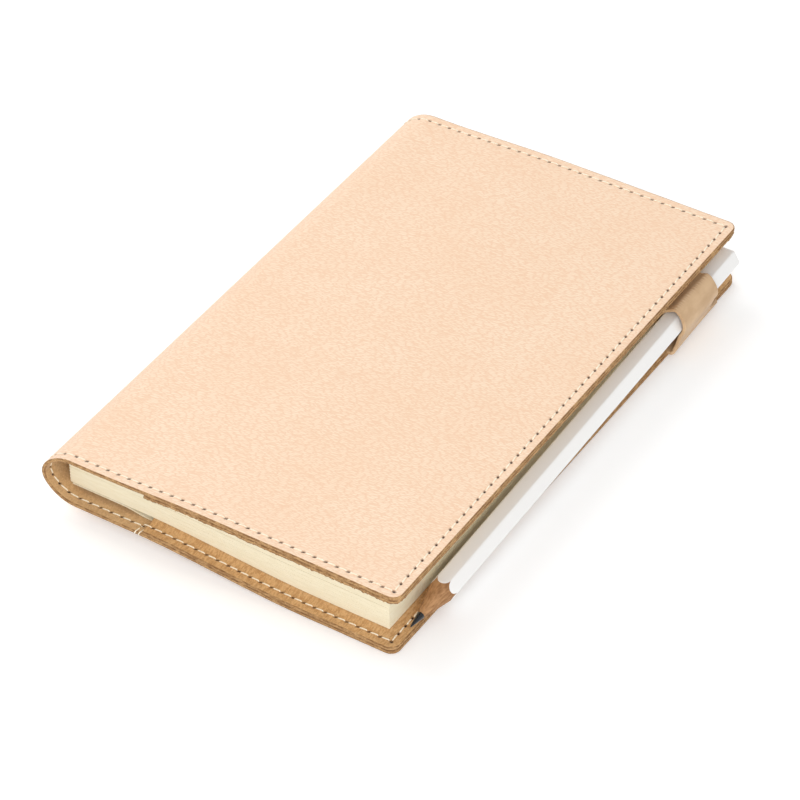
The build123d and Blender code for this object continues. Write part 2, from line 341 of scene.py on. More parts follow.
thread = plain_finish(
    "thread", colour(246, 230, 200), colour(255, 247, 228), (3000, 3000, 3000), 0.04, 0.6
)
paper = plain_finish(
    "paper", colour(242, 232, 202), colour(246, 237, 210), (260, 260, 2400), 0.01, 0.85
)
card = plain_finish(
    "card", colour(232, 221, 190), colour(244, 236, 212), (500, 500, 500), 0.03, 0.8
)
weave = binding_weave()
print("finishes", thread.name, paper.name, card.name, weave.name)

# %% [markdown]
# The pencil is lacquered white, which a thin clear coat over a white base gives. Its cone is bare
# cedar: noise that is stretched along the pencil makes the streaks of the grain. The lead is dark
# and polished, so it is half metallic.

# %% Lacquer, cedar, graphite
def lacquer_finish():
    finish = Finish("lacquer", Roughness=0.3, Coat_Weight=0.4, Coat_Roughness=0.12)
    haze = finish.noise(finish.place((90, 20, 90)), 3.0)
    finish.paint(finish.mix(haze, colour(243, 242, 240), colour(248, 247, 245)))
    finish.bump(finish.noise(finish.place((400, 120, 400)), 2.0), 0.02, 0.4)
    return finish.material


def cedar_finish():
    finish = Finish("cedar", Roughness=0.7)
    streaks = finish.noise(finish.place((1700, 28, 1700)), 4.0, 0.6)
    bands = finish.noise(finish.place((420, 60, 420)), 2.0)
    mask = finish.between(streaks * 0.6 + bands * 0.4, 0.36, 0.64)
    finish.paint(finish.mix(mask, colour(142, 98, 57), colour(190, 143, 97)))
    finish.bump(streaks, 0.025, 0.6)
    return finish.material


def graphite_finish():
    finish = Finish("graphite", Roughness=0.13, Metallic=0.3, Coat_Weight=0.5)
    rings = finish.noise(finish.place((900, 4200, 900)), 3.0)
    finish.paint(finish.mix(rings, colour(14, 14, 16), colour(38, 39, 44)))
    finish.bump(rings, 0.015, 0.6)
    return finish.material


lacquer = lacquer_finish()
cedar = cedar_finish()
graphite = graphite_finish()
print("finishes", lacquer.name, cedar.name, graphite.name)

# %% [markdown]
# ## The slump of the closed book
# A book that is held shut by nothing does not lie flat and parallel. Its back cover lifts on the
# way to the spine and its front cover sinks a little there, and the back's fore edge runs in
# towards the tail. So every piece is drawn straight, and one function moves it to where it lies.
# Each pair of places says between which distances from the spine a change comes in.

# %% The closed book's slump
spine_lift = 3.2
lift_u = (76, 18)
spine_drop = 1.2
drop_u = (46, 4)
out_of_square = 1.4
square_at_head = 0.5
square_u = (50, 98)


def smooth_step(value, start, end):
    """0 at start, 1 at end, level at both."""
    share = np.clip((np.asarray(value, float) - start) / (end - start), 0, 1)
    return share * share * (3 - 2 * share)


def slumped(points):
    """Where points of the straight book come to lie."""
    x, y, z = np.moveaxis(np.asarray(points, float), -1, 0)
    u = x - bend_x
    upper = smooth_step(z, 0, closed_height)
    lift = spine_lift * smooth_step(u, *lift_u) * (1 - upper)
    drop = spine_drop * smooth_step(u, *drop_u) * upper
    square = out_of_square * (head_y - y) / (head_y - tail_y) - square_at_head
    square = square * smooth_step(u, *square_u) * smooth_step(z, pages_bottom, margin_top)
    return np.stack([x - square, y, z + lift - drop], axis=-1)


print("slump:", spine_lift, "mm up at the back,", spine_drop, "mm down at the front")

# %% [markdown]
# ## Mesh helpers
# All pieces are built from rows of points, because leather, thread and leaves are sheets and
# tubes whose thickness, edge and relief have to be exact. One function turns points and faces
# into an object: it points the faces outwards, and keeps edges sharper than 40 degrees crisp.

# %% Make a piece
crisp_angle = math.radians(40)


def make_piece(name, points, faces, finishes, finish_of_face=None, marks=None):
    """An object from points in millimetres, closed faces and its finishes."""
    mesh = bpy.data.meshes.new(name)
    mesh.from_pydata((slumped(points) * mm).tolist(), [], faces)
    for finish in finishes:
        mesh.materials.append(finish)
    if finish_of_face is not None:
        mesh.polygons.foreach_set("material_index", finish_of_face)
    for mark, values in (marks or {}).items():
        layer = mesh.attributes.new(mark, "FLOAT", "POINT")
        layer.data.foreach_set("value", np.asarray(values, np.float32))
    work = bmesh.new()
    work.from_mesh(mesh)
    bmesh.ops.recalc_face_normals(work, faces=work.faces)
    work.to_mesh(mesh)
    work.free()
    mesh.polygons.foreach_set("use_smooth", [True] * len(mesh.polygons))
    mesh.set_sharp_from_angle(angle=crisp_angle)
    piece = bpy.data.objects.new(name, mesh)
    bpy.context.scene.collection.objects.link(piece)
    print(name, len(mesh.vertices), "points")
    return piece


def wrapped_faces(rows, around, first=0):
    """Faces between rows of points that each go all the way round, from point number first."""
    faces = []
    for row in range(rows - 1):
        a = first + row * around
        b = a + around
        for k in range(around):
            after = (k + 1) % around
            faces.append((a + k, a + after, b + after, b + k))
    return faces


def tube_faces(rows, around, first=0):
    """The same faces, with a cap at both ends."""
    last = first + (rows - 1) * around
    caps = [[first + k for k in range(around)][::-1], [last + k for k in range(around)]]
    return wrapped_faces(rows, around, first) + caps


def ring_angles(count):
    """Angles of that many even steps once round."""
    return np.arange(count) * 2 * math.pi / count


def unit_ways(line):
    """Unit directions along a line of points."""
    way = np.gradient(np.asarray(line, float), axis=0)
    return way / np.linalg.norm(way, axis=1)[:, None]


def place(u, y, depth):
    """Where a point of the cover lies: u runs from the spine's tangent line to the fore edge.

    A negative u goes round the bend, and depth is measured in from the outer face.
    """
    turn = np.clip(-u, 0, None) / bend_radius
    reach = bend_radius - depth
    x = bend_x + np.maximum(u, 0) - reach * np.sin(turn)
    z = bend_radius - reach * np.cos(turn)
    return np.stack([x, y + 0 * x, z], axis=-1)


def turned_over(points):
    """The same piece on the front cover, which mirrors the back one."""
    return points * [1, 1, -1] + [0, 0, closed_height]


print("the bend's outer face is", round(math.pi * bend_radius, 1), "mm long")

# %% [markdown]
# ## The seam
# The needle holes are one stitch apart on the flat, and on the bend they are an even share of a
# quarter of it, so that every strip of the bend starts and ends on a hole. The thread pulls the
# leather into a shallow trough, and each hole is a slanted pit in it. Both are worked out as a
# depth at each place, which is simpler than cutting a few hundred holes.

# %% Needle holes
arm_stitches = 29
fore_stitches = 52
bend_stitches = 8
arm_pitch = seam_u / arm_stitches
fore_pitch = 2 * seam_y / fore_stitches
bend_pitch = math.pi * bend_radius / bend_stitches
hole_slant = math.radians(30)
hole_length = 0.56
hole_width = 0.34
hole_wall = 3
hole_depth = 0.5
trough_depth = 0.07
trough_width = 0.8


def hole_at(along, across):
    """1 inside a slanted needle hole, 0 away from it."""
    long_way = along * math.cos(hole_slant) + across * math.sin(hole_slant)
    short_way = across * math.cos(hole_slant) - along * math.sin(hole_slant)
    return np.exp(-(((long_way / hole_length) ** 2 + (short_way / hole_width) ** 2) ** hole_wall))


def seam_relief(u, y, first_u=-math.inf):
    """How deep the seam dents the leather, and its hole mark, from first_u to the fore edge."""
    pitch = np.where(u < 0, bend_pitch, arm_pitch)
    number = np.minimum(np.round(u / pitch), arm_stitches)
    arm_side = np.abs(y) - seam_y
    arm_hole = hole_at(u - number * pitch, arm_side * np.sign(y))
    arm_hole = arm_hole * (number * pitch > first_u)
    number = np.clip(np.round(y / fore_pitch), -fore_stitches // 2, fore_stitches // 2)
    fore_hole = hole_at(y - number * fore_pitch, seam_u - u)
    arm_trough = np.exp(-((arm_side / trough_width) ** 2))
    arm_trough = arm_trough * smooth_step(u, seam_u + trough_width, seam_u)
    fore_trough = np.exp(-(((u - seam_u) / trough_width) ** 2))
    fore_trough = fore_trough * smooth_step(np.abs(y), seam_y + trough_width, seam_y)
    hole = np.maximum(arm_hole, fore_hole)
    return trough_depth * np.maximum(arm_trough, fore_trough) + hole_depth * hole, hole


print("stitch length", round(arm_pitch, 2), "mm on the flat,", round(bend_pitch, 2), "on the bend")

# %% [markdown]
# ## Leather sheets
# A cover is a thick sheet with rounded edges. Its margin carries the seam and needs points close
# together, while the middle is almost flat and needs few. So a fine ring follows the three sewn
# sides, fanning round the corners, and a coarse lattice fills the middle and shares its points.

# %% Levels of the margin
ring_u = seam_inset + arm_pitch
ring_y = seam_inset + fore_pitch
edge_radius = 0.28
across_hole = (-0.75, -0.42, -0.2, 0, 0.2, 0.42, 0.75)
level_inset = [0.0, 0.08, edge_radius, 0.8, 1.4]
level_inset += [seam_inset + step for step in across_hole]
level_inset += [4.2, 5.1]
level_round = [edge_radius, 0.08] + [0.0] * (len(level_inset) - 2)
level_fray = [1.0, 0.6, 0.2] + [0.0] * (len(level_inset) - 3)
# How much painted shade each level's rim carries on the cut edge.
level_rim_shade = [1.0, 1.0, 0.6] + [0.0] * (len(level_inset) - 3)
wall_shares = [1 / 3, 2 / 3]
stitch_columns = 8
hole_steps = (0.0, 0.22, 0.45, 0.8)
fan_columns = 23
rounding = 1e-6


def stitch_places(count, pitch):
    """Places along a seam, close together at each hole and wide between."""
    steps = [*hole_steps, pitch / 2, *(pitch - step for step in hole_steps[:0:-1])]
    return np.array([number * pitch + step for number in range(count) for step in steps])


def arm_places(start_u):
    """Places from start_u to the corner of the ring, whole stitches counted from the corner."""
    end_u = seam_u - arm_pitch
    count = math.ceil((end_u - start_u) / arm_pitch - rounding)
    back = np.append(stitch_places(count, arm_pitch), count * arm_pitch)
    whole = (count - 1) * arm_pitch
    rest = end_u - start_u - whole
    back = np.where(back > whole, whole + (back - whole) * rest / arm_pitch, back)
    return (end_u - back)[::-1]


def fore_places():
    """Places along the fore edge between the two corners of the ring."""
    count = fore_stitches - 2
    places = np.append(stitch_places(count, fore_pitch), count * fore_pitch)
    return tail_y + ring_y + places


def lattice_lines(last, near_start):
    """Which of the fine places the coarse lattice keeps: more of them beside the ring."""
    lines = set(range(0, last + 1, stitch_columns)) | {last - 2, last - 4, last - 6}
    if near_start:
        lines |= {2, 4, 6}
    return sorted(lines)


def outline_reach(angle):
    """How far the rounded outline lies from the ring's corner, in that direction."""
    right, down = math.cos(angle), -math.sin(angle)
    inner_u, inner_y = ring_u - corner_radius, ring_y - corner_radius
    if down > 0 and right * ring_y / down <= inner_u:
        return ring_y / down
    if right > 0 and down * ring_u / right <= inner_y:
        return ring_u / right
    middle = right * inner_u + down * inner_y
    return middle + math.sqrt(middle**2 - inner_u**2 - inner_y**2 + corner_radius**2)


def ring_columns(arm, fore):
    """(lattice place, its u and y, unit direction outwards, reach) for each column."""
    last_arm, last_fore = len(arm) - 1, len(fore) - 1
    columns = [((k, 0), arm[k], fore[0], 0, -1, ring_y) for k in range(last_arm + 1)]
    turns = [math.pi / 2 * (k + 1) / (fan_columns + 1) for k in range(fan_columns)]
    for turn in turns:
        angle = turn - math.pi / 2
        reach = outline_reach(angle)
        corner = ((last_arm, 0), arm[-1], fore[0])
        columns.append((*corner, math.cos(angle), math.sin(angle), reach))
    columns += [((last_arm, k), arm[-1], fore[k], 1, 0, ring_u) for k in range(last_fore + 1)]
    for turn in turns:
        reach = outline_reach(-turn)
        corner = ((last_arm, last_fore), arm[-1], fore[-1])
        columns.append((*corner, math.cos(turn), math.sin(turn), reach))
    columns += [((k, last_fore), arm[k], fore[-1], 0, 1, ring_y) for k in range(last_arm, -1, -1)]
    return columns


print("margin levels", len(level_inset), "columns for each stitch", stitch_columns)

# %% [markdown]
# The margin of a sheet goes from the outer face over the rounded edge, down the cut wall and back
# over the other rounded edge to the inner face. Its points are pushed in and out a little,
# because a knife leaves fibres: a smooth edge would look like plastic. The shape of both faces is
# a function of the place on the cover, so the same code makes the outer leather and the flaps.

# %% Margin of a sheet
fray_seed = 11
fore_edge_fray = 0.35
fore_edge_fibres = 0.2


class SheetPoints:
    """Points of a sheet, gathered part by part, with the marks that its finishes read."""

    def __init__(self):
        self.parts, self.holes, self.rim_shades = [], [], []

    def add(self, u, y, depth, hole, rim=0.0):
        """Add points at these places, and give their numbers."""
        first = sum(len(part) for part in self.parts)
        self.parts.append(place(u, y, depth))
        self.holes.append(hole + 0 * u)
        self.rim_shades.append(rim + 0 * u)
        return np.arange(first, first + len(u))


def margin_rows(points, columns, shape, fray):
    """Rows of point numbers along the three sewn sides, from the outer to the inner face."""
    corner_u, corner_y, out_u, out_y, reach = (
        np.array([column[part] for column in columns], float) for part in range(1, 6)
    )
    chance = np.random.default_rng(fray_seed)
    coarse = chance.normal(size=len(columns) // stitch_columns + 2)
    stitches = np.arange(len(columns)) / stitch_columns
    wander = np.interp(stitches, np.arange(len(coarse)), coarse)

    def level_place(level):
        span = np.where(out_u == 0, ring_y, ring_u)
        share = 1 - level_inset[level] / span
        loose = 0.5 * wander + 0.5 * chance.normal(size=len(columns))
        loose = loose * fray * level_fray[level] * np.where(out_u == 1, fore_edge_fray, 1)
        distance = reach * share + loose
        return corner_u + out_u * distance, corner_y + out_y * distance

    rows = []
    levels = range(len(level_inset))
    for level in reversed(levels):
        u, y = level_place(level)
        low, _, hole, _ = shape(u, y)
        rows.append(points.add(u, y, low + level_round[level], hole, level_rim_shade[level]))
    for share in wall_shares:
        u, y = level_place(0)
        low, high, _, _ = shape(u, y)
        depth = low + edge_radius + share * (high - low - 2 * edge_radius)
        rows.append(points.add(u, y, depth, 0))
    for level in levels:
        u, y = level_place(level)
        _, high, _, hole = shape(u, y)
        fibres = fray * level_fray[level] * np.abs(chance.normal(size=len(columns)))
        fibres = fibres * np.where(out_u == 1, fore_edge_fibres, 1)
        depth = high - level_round[level] + fibres
        rows.append(points.add(u, y, depth, hole, level_rim_shade[level]))
    return rows


print("fraying on the fore edge:", fore_edge_fray, "of that at the tail and head")

# %% [markdown]
# The lattice fills the middle of both faces. It keeps few of the ring's places, so the faces that
# meet the ring have many corners on that side. Such a face is a polygon that Blender accepts as
# it is, which avoids a band of thin triangles.

# %% Build a sheet
def lattice_numbers(points, columns, arm, fore, lines, shape):
    """The point number of every place of the lattice, for the outer and the inner face."""
    on_ring = {column[0] for column in columns}
    spots = sorted(on_ring | {(i, j) for i in lines[0] for j in lines[1]})
    spot_u = np.array([arm[i] for i, j in spots])
    spot_y = np.array([fore[j] for i, j in spots])
    low, high, low_hole, high_hole = shape(spot_u, spot_y)
    lattice = []
    for depth, hole in ((low, low_hole), (high, high_hole)):
        first = points.add(spot_u, spot_y, depth, hole)[0]
        lattice.append({spot: first + number for number, spot in enumerate(spots)})
    return lattice


def sheet_faces(rows, columns, lattice, lines):
    """Faces, and the finish of each: 0 the outer face, 1 the inner face, 2 the cut edge."""
    faces, kinds = [], []
    arm_lines, fore_lines = lines

    def face(corners, kind):
        distinct = list(dict.fromkeys(int(corner) for corner in corners))
        if len(distinct) > 2:
            faces.append(distinct)
            kinds.append(kind)

    face_rows = len(level_inset) - 3
    for row, (near, far) in enumerate(zip(rows, rows[1:])):
        kind = 0 if row < face_rows else 1 if row >= len(rows) - 1 - face_rows else 2
        for k in range(len(columns) - 1):
            face((near[k], near[k + 1], far[k + 1], far[k]), kind)
    for kind, row in ((0, rows[0]), (1, rows[-1])):
        inner = [lattice[kind][column[0]] for column in columns]
        for k in range(len(columns) - 1):
            face((inner[k], inner[k + 1], row[k + 1], row[k]), kind)
        for i0, i1 in zip(arm_lines, arm_lines[1:]):
            for j0, j1 in zip(fore_lines, fore_lines[1:]):
                walk = [(i, j0) for i in range(i0, i1)] + [(i1, j) for j in range(j0, j1)]
                walk += [(i, j1) for i in range(i1, i0, -1)] + [(i0, j) for j in range(j1, j0, -1)]
                face([lattice[kind][spot] for spot in walk if spot in lattice[kind]], kind)
    for k in (0, -1):
        outer = [lattice[0][columns[k][0]]] + [row[k] for row in rows[: len(rows) // 2]]
        inner = [lattice[1][columns[k][0]]] + [row[k] for row in rows[: len(rows) // 2 - 1 : -1]]
        for a in range(len(outer) - 1):
            face((outer[a], outer[a + 1], inner[a + 1], inner[a]), 2)
    for j0, j1 in zip(fore_lines, fore_lines[1:]):
        face((lattice[0][0, j0], lattice[0][0, j1], lattice[1][0, j1], lattice[1][0, j0]), 2)
    return faces, kinds


def sheet(name, start_u, shape, finishes, fray, front):
    """A sewn sheet from start_u to the fore edge; shape gives depths and marks of both faces."""
    arm, fore = arm_places(start_u), fore_places()
    lines = (
        lattice_lines(len(arm) - 1, near_start=False),
        lattice_lines(len(fore) - 1, near_start=True),
    )
    columns = ring_columns(arm, fore)
    gathered = SheetPoints()
    rows = margin_rows(gathered, columns, shape, fray)
    lattice = lattice_numbers(gathered, columns, arm, fore, lines, shape)
    faces, kinds = sheet_faces(rows, columns, lattice, lines)
    points = np.concatenate(gathered.parts)
    if front:
        points = turned_over(points)
    marks = {"hole": np.concatenate(gathered.holes), "rim": np.concatenate(gathered.rim_shades)}
    return make_piece(name, points, faces, finishes, kinds, marks)


print("columns round a whole cover:", len(ring_columns(arm_places(0), fore_places())))

# %% [markdown]
# The outer leather lies flat, apart from the seam, a slight swell in the middle of the front
# cover and slow waves that any skin has. The waves fade out at the spine, where the bend starts.

# %% The two covers
swell_height = 0.3
swell_run_u = 45
swell_run_y = 50
wave_height = 0.05
leather_fray = 0.05


def skin_waves(u, y):
    """Slow unevenness of a skin, none at the spine."""
    waves = np.sin(u / 9.0 + 0.8 * np.sin(y / 13.0)) * np.cos(y / 11.0 + 0.6 * np.sin(u / 17.0))
    return wave_height * waves * smooth_step(u, 0, 14) * smooth_step(seam_u - u, 1, 8)


def outer_shape(swell):
    """Depths of the outer leather's two faces."""

    def shape(u, y):
        dent, hole = seam_relief(u, y)
        lift = swell * smooth_step(u, 0, swell_run_u)
        lift = lift * smooth_step(u, seam_u + 2, seam_u - swell_run_u)
        lift = lift * smooth_step(np.abs(y), head_y - 1, head_y - swell_run_y)
        outer = dent - lift
        inner = outer_leather - lift - dent
        waves = skin_waves(u, y) if swell else 0
        return outer + waves, inner + waves, hole, hole

    return shape


leather_finishes = [grain, flesh, edge]
back_leather = sheet(
    "back_leather", 0, outer_shape(0), leather_finishes, leather_fray,
    front=False,
)
front_leather = sheet(
    "front_leather", 0, outer_shape(swell_height), leather_finishes,
    leather_fray, front=True,
)
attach(back_leather, "back")
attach(front_leather, "front")
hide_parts("outer_back_panel")
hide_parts("outer_front_panel")

# %% [markdown]
# The flaps are sewn flat at the margin and rise softly over the card that slides under them.
# Where the pen loop's root is sewn in, the flap gives way to it.

# %% The two flaps
card_play = 0.3
step_start = 0.2
step_width = 1.5
pocket_u = lower_high[0] + card_play + flap_leather - bend_x
pocket_y = lower_high[1] + card_play + flap_leather
root_sink = 0.2
root_u = (seam_u - 1.1, seam_u - 0.7)
ripple_height = 0.03
ripple_run = 3
first_hole = 1


def flap_shape(start_u, with_root):
    """Depths of a flap's hidden and visible faces."""

    def shape(u, y):
        rise = smooth_step(u, pocket_u + step_start, pocket_u + step_start - step_width)
        rise = pocket_rise * rise * smooth_step(np.abs(y), pocket_y, pocket_y - step_width)
        dent, hole = seam_relief(u, y, start_u + first_hole)
        if with_root:
            near_root = smooth_step(u, *root_u)
            near_root = near_root * ((y > loop_low[1]) & (y < loop_high[1]))
            dent = dent + root_sink * near_root
        ripple = ripple_height * np.sin(u * 2.1 + 0.7 * np.sin(y * 0.9))
        ripple = ripple * smooth_step(u, start_u, start_u + ripple_run)
        visible = margin_top + rise - dent + ripple * (1 - hole)
        return outer_leather + rise, visible, 0 * hole, hole

    return shape


back_flap_u = flap_low[0] - bend_x
front_flap_u = front_flap_low[0] - bend_x
back_flap_fray, front_flap_fray = 0.09, 0.2
flap_finishes = [flesh, pocket, edge]
back_flap = sheet(
    "back_flap", back_flap_u, flap_shape(back_flap_u, with_root=True), flap_finishes,
    back_flap_fray, front=False,
)
front_flap = sheet(
    "front_flap", front_flap_u, flap_shape(front_flap_u, with_root=False), flap_finishes,
    front_flap_fray, front=True,
)
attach(back_flap, "back")
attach(front_flap, "front")
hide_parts("back_pocket_flap")
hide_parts("front_pocket_flap")

# %% [markdown]
# ## The bend
# The outer leather runs round the spine in one piece, and opening the cover unrolls it. Four line
# hinges stand for that, so the leather is split midway between them into quarters. All quarters
# share their edge points, so no gap shows.

# %% Quarters of the bend
quarters = (1, 2, 3, 4)
quarter_length = math.pi * bend_radius / len(quarters)
quarter_stitches = bend_stitches // len(quarters)
mid_radius = bend_radius - outer_leather / 2


def on_mid_surface(number, share):
    """A point in metres on the middle of the leather, that share through quarter number."""
    turn = math.radians(45 * (number - 1 + share))
    x = bend_x - mid_radius * math.sin(turn)
    z = bend_radius - mid_radius * math.cos(turn)
    return tuple(slumped((x, 0, z)) * mm)


def bend_shape(u, y):
    """Depths of the bend's two faces."""
    dent, hole = seam_relief(u, y)
    return dent, outer_leather - dent, hole, hole


def bend_quarter(number):
    """A quarter of the bend, which is an eighth of a full turn, from tail to head."""
    fore = fore_places()
    lines = [fore[k] for k in lattice_lines(len(fore) - 1, near_start=True)]
    margin = [tail_y + inset for inset in level_inset]
    ys = np.array(margin + lines + [-y for y in reversed(margin)])
    rounds = np.array(level_round + [0.0] * len(lines) + level_round[::-1])
    steps = np.append(stitch_places(quarter_stitches, bend_pitch), quarter_length)
    us = -(quarter_length * (number - 1) + steps)
    rim_shades = np.array(level_rim_shade + [0.0] * len(lines) + level_rim_shade[::-1])
    loops, hole_loops, rim_shade_loops = [], [], []
    for u in us:
        low, high, low_hole, high_hole = bend_shape(u + 0 * ys, ys)
        wall_u = np.full(2, u)
        wall = np.array(wall_shares)
        wall_depth = edge_radius + wall * (outer_leather - 2 * edge_radius)
        outer = place(u + 0 * ys, ys, low + rounds)
        inner = place(u + 0 * ys, ys, high - rounds)[::-1]
        head_wall = place(wall_u, np.full(2, ys[-1]), wall_depth)
        tail_wall = place(wall_u, np.full(2, ys[0]), wall_depth[::-1])
        loops.append(np.concatenate([outer, head_wall, inner, tail_wall]))
        flat = np.zeros(2)
        hole_loops.append(np.concatenate([low_hole, flat, high_hole[::-1], flat]))
        rim_shade_loops.append(np.concatenate([rim_shades, flat, rim_shades[::-1], flat]))
    around = len(loops[0])
    across = len(ys)
    on_outer = range(2, across - 3)
    on_inner = range(across + 4, 2 * across - 1)
    kinds = [0 if k in on_outer else 1 if k in on_inner else 2 for k in range(around)]
    kinds = kinds * (len(us) - 1)
    faces = wrapped_faces(len(us), around)
    for first in (0, (len(us) - 1) * around):
        opposite = 2 * across + 1
        for k in range(across - 1):
            faces.append((first + k, first + k + 1, first + opposite - k - 1, first + opposite - k))
            kinds.append(2)
        for k, other in ((0, opposite), (across - 1, across + 2)):
            wall = (around - 1, around - 2) if k == 0 else (across, across + 1)
            faces.append((first + k, first + wall[0], first + wall[1], first + other))
            kinds.append(2)
    points = np.concatenate(loops)
    marks = {"hole": np.concatenate(hole_loops), "rim": np.concatenate(rim_shade_loops)}
    name = f"spine_leather_{number}"
    return make_piece(name, points, faces, leather_finishes, kinds, marks)


for number in quarters:
    quarter = bend_quarter(number)
    start, end = on_mid_surface(number, 0), on_mid_surface(number, 1)
    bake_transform(quarter)
    if number < len(quarters):
        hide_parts(f"spine_strip_{number}")

# %% [markdown]
# ## Stitches
# A lockstitch shows as short runs of thread that dip into the needle holes. Each is a small tube
# with a flattened section whose outline turns along it, as the two plies of the thread do. A
# modelled stitch catches the light as thread does, which a painted dash would not.

# %% One stitch, in its own coordinates
thread_half_width = 0.23
thread_half_height = 0.13
stitch_sections = 11
thread_corners = 8
ply_turns = 2.5
ply_relief = 0.1
end_taper = 0.25
stitch_skew = 0.1
stitch_inset = 0.38
tuck = 0.5


def stitch_tube(length):
    """Points along, across and above for one stitch, as rows of a tube."""
    shares = np.linspace(-1, 1, stitch_sections)
    around = ring_angles(thread_corners)
    along = shares * (length / 2 - stitch_inset)
    height = -(tuck + thread_half_height) * np.abs(shares) ** 6
    slim = 1 - end_taper * shares**4
    turned = around[None, :] - shares[:, None] * ply_turns * math.pi
    ply = 1 + ply_relief * np.cos(2 * turned)
    across = thread_half_width * slim[:, None] * ply * np.cos(around)[None, :]
    across = across + stitch_skew * shares[:, None]
    above = height[:, None] + thread_half_height * ply * np.sin(around)[None, :]
    return along[:, None] + 0 * across, across, above


def run_of_stitches(runs, surface, outward):
    """Stitches from (u, y, direction, length); surface gives the depth they lie on."""
    points, faces = [], []
    for u, y, direction, length in runs:
        along, across, above = stitch_tube(length)
        at_u = u + along * math.cos(direction) - across * math.sin(direction)
        at_y = y + along * math.sin(direction) + across * math.cos(direction)
        depth = surface(u, y) + outward * above
        faces += tube_faces(stitch_sections, thread_corners, len(points) * along.size)
        points.append(place(at_u, at_y, depth).reshape(-1, 3))
    return np.concatenate(points), faces


def join_meshes(parts):
    """Several (points, faces) as one."""
    points, faces, first = [], [], 0
    for part_points, part_faces in parts:
        points.append(part_points)
        faces += [[corner + first for corner in face] for face in part_faces]
        first += len(part_points)
    return np.concatenate(points), faces


print("points in one stitch:", stitch_sections * thread_corners)

# %% [markdown]
# The seam has thread on both faces. Outside it lies in its trough, and on the underside it stays
# above the table. Inside it lies on the flap, and near the spine on the single leather. Where the
# back flap begins, the thread is wrapped over the edge twice to lock the seam.

# %% Stitches of both covers
sunk = 0.24
proud = 0.03
wrap_shifts = (-0.9, 0.35)
wrap_lean = 0.5
wrap_rise = 0.12
wrap_sink = 0.3
wrap_half_width = thread_half_width * 0.9
wrap_half_height = thread_half_height * 0.7
wrap_from_flap = 1.6
flap_edge_play = 0.2


def arm_runs(from_u, to_u):
    """Stitches along tail and head whose middles lie between two places."""
    middles = [(number + 0.5) * arm_pitch for number in range(arm_stitches)]
    kept = [u for u in middles if from_u < u < to_u]
    return [(u, side * seam_y, 0.0, arm_pitch) for side in (-1, 1) for u in kept]


def fore_runs():
    """Stitches along the fore edge."""
    first = -fore_stitches // 2
    numbers = range(first, first + fore_stitches)
    return [(seam_u, (n + 0.5) * fore_pitch, math.pi / 2, fore_pitch) for n in numbers]


def edge_wraps(at_u):
    """Thread taken round the tail and head edges where a flap begins."""
    middle = outer_leather / 2
    turns = np.linspace(-math.pi / 2, math.pi / 2, 9)
    reach = middle + wrap_rise
    ys = seam_y + seam_inset - middle + reach * np.cos(turns)
    ys = np.concatenate([[seam_y], ys, [seam_y]])
    zs = middle + reach * np.sin(turns)
    zs = np.concatenate([[wrap_sink], zs, [2 * middle - wrap_sink]])
    around = ring_angles(thread_corners)
    wide = wrap_half_width * np.cos(around)
    thick = wrap_half_height * np.sin(around)
    way = unit_ways(np.stack([ys, zs], axis=1))
    at_z = np.maximum(zs[:, None] - thick[None, :] * way[:, :1], 0.0)
    parts = []
    for side in (-1, 1):
        for shift in wrap_shifts:
            us = at_u + shift + np.linspace(-wrap_lean, wrap_lean, len(ys))
            at_y = side * (ys[:, None] + thick[None, :] * way[:, 1:])
            points = place(us[:, None] + wide[None, :], at_y, at_z).reshape(-1, 3)
            parts.append((points, tube_faces(len(ys), thread_corners)))
    return parts


def cover_stitches(name, flap_u, outside_rise, front):
    """All thread of one cover."""
    everywhere = arm_runs(0, seam_u) + fore_runs()
    on_single = arm_runs(0, flap_u - flap_edge_play)
    on_flap = arm_runs(flap_u - flap_edge_play, seam_u) + fore_runs()
    parts = [
        run_of_stitches(everywhere, lambda u, y: -outside_rise, -1),
        run_of_stitches(on_single, lambda u, y: outer_leather + proud * 0.5, 1),
        run_of_stitches(on_flap, lambda u, y: margin_top + proud * 0.5, 1),
        *([] if front else edge_wraps(flap_u - wrap_from_flap)),
    ]
    points, faces = join_meshes(parts)
    if front:
        points = turned_over(points)
    return make_piece(name, points, faces, [thread])


back_stitches = cover_stitches("back_stitches", back_flap_u, -sunk, front=False)
front_stitches = cover_stitches("front_stitches", front_flap_u, proud, front=True)
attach(back_stitches, "back")
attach(front_stitches, "front")
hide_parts("back_seam_thread")
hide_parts("front_seam_thread")

# %% [markdown]
# The seam runs on round the bend, and its stitches are made for each quarter, just as its
# leather is.

# %% Stitches round the bend
for number in quarters:
    start_u = quarter_length * (number - 1)
    middles = [-(start_u + (n + 0.5) * bend_pitch) for n in range(quarter_stitches)]
    runs = [(u, side * seam_y, 0.0, bend_pitch) for side in (-1, 1) for u in middles]
    outside_rise = -sunk if number == 1 else proud * 0.5
    parts = [
        run_of_stitches(runs, lambda u, y: -outside_rise, -1),
        run_of_stitches(runs, lambda u, y: outer_leather + proud * 0.5, 1),
    ]
    points, faces = join_meshes(parts)
    name = f"spine_stitches_{number}"
    stitches = make_piece(name, points, faces, [thread])
    start, end = on_mid_surface(number, 0), on_mid_surface(number, 1)
    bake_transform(stitches)
    if number < len(quarters):
        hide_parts(f"spine_thread_{number}")

# %% [markdown]
# ## The notebook
# The text block is a stack of folded sections. Every leaf is its own thin sheet, cut a hair
# differently from the next, because that is what draws the fine lines on the block's edges. The
# leaves of a section curve together into its fold at the spine.

# %% Leaves
leaves_in_section = 8
sections = 5
leaf_gap = 0.004
section_gap = 0.03
loose_gap = 0.07
cut_error = 0.012
fold_depth = 0.35
leaf_seed = 5
leaf_shares = np.concatenate([np.linspace(0, 0.8, 19), [1.0]])


